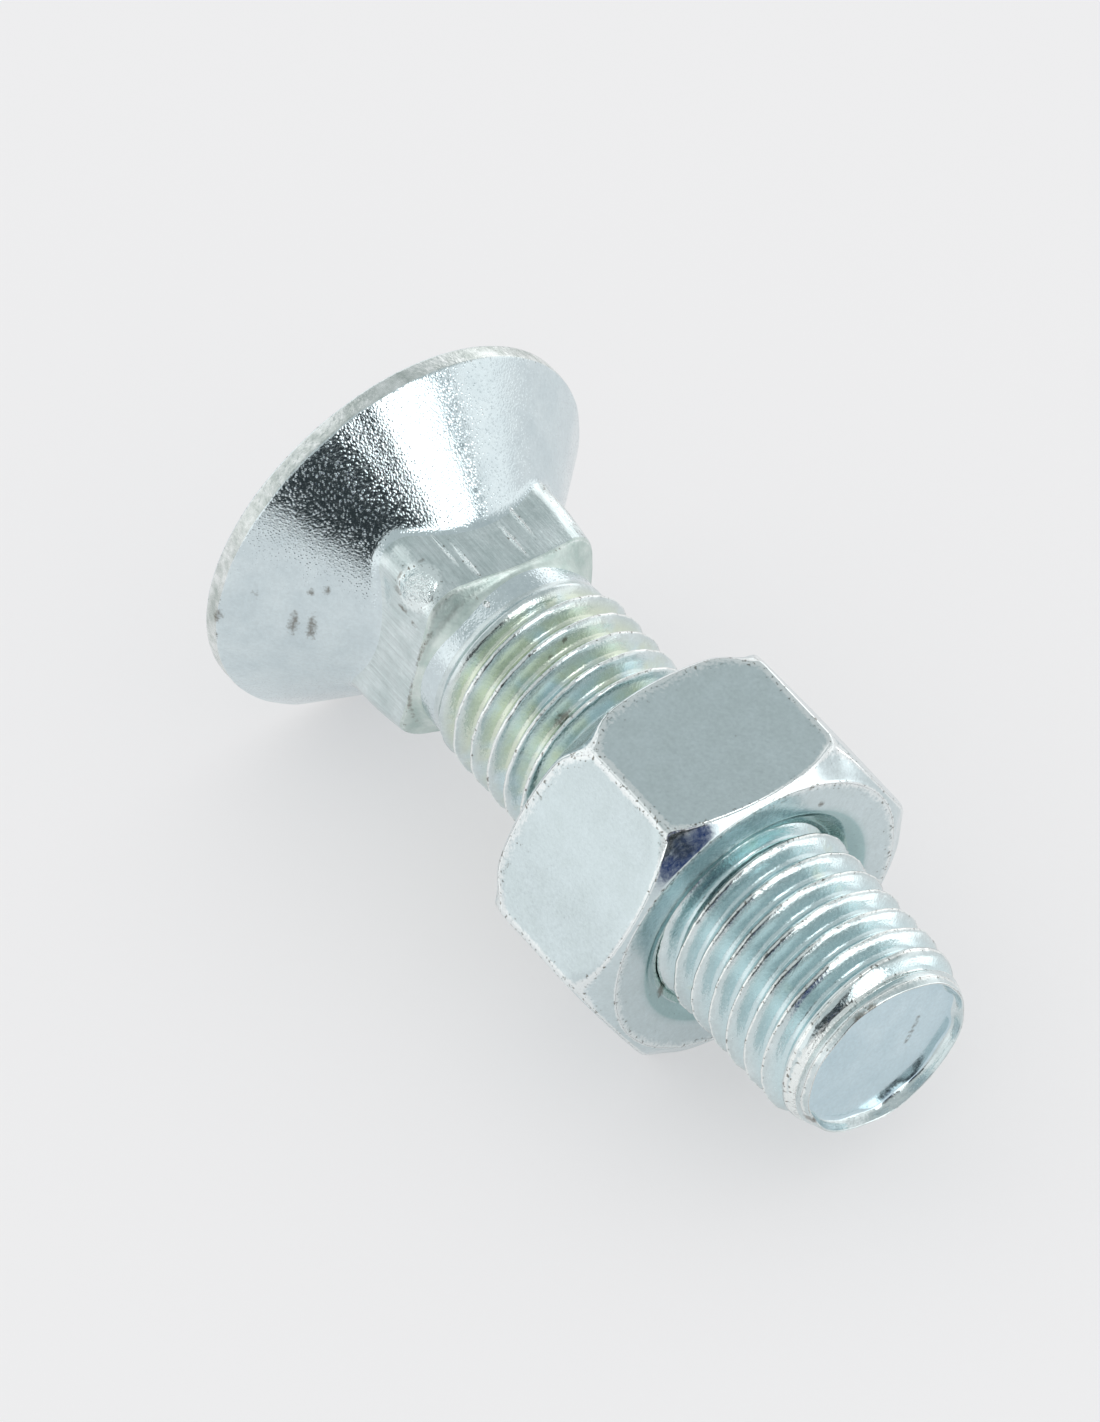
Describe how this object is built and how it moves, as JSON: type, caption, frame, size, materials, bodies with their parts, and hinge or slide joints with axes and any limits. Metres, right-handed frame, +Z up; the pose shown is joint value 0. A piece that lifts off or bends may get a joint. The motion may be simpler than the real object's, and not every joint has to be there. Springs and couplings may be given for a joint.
{
  "type": "plow bolt",
  "caption": "Zinc-plated plow bolt with a flat countersunk head, a short square neck and a rolled thread, with its hexagon nut run on partway.",
  "frame": {"origin": "bottom centre of the box round the bolt and nut, on the ground that they lie on", "axes": "+Z up; the bolt's axis lies in the XZ plane and runs from the head at -X to the thread's end at +X, sloping down 4.5 degrees that way"},
  "size_m": [0.0452, 0.0238, 0.0238],
  "materials": {
    "bolt": "bright zinc plate, clear passivated, over forged and rolled steel",
    "nut": "bright zinc plate, clear passivated, over cold-formed steel"
  },
  "bodies": {
    "bolt": {"bolt": "bolt"},
    "nut": {"nut": "nut"}
  },
  "joints": [
    {"name": "nut_travel", "type": "slide", "parent": "bolt", "child": "nut", "axis": [0.9969, 0, -0.0784], "range_m": [-0.009, 0.0165]}
  ]
}
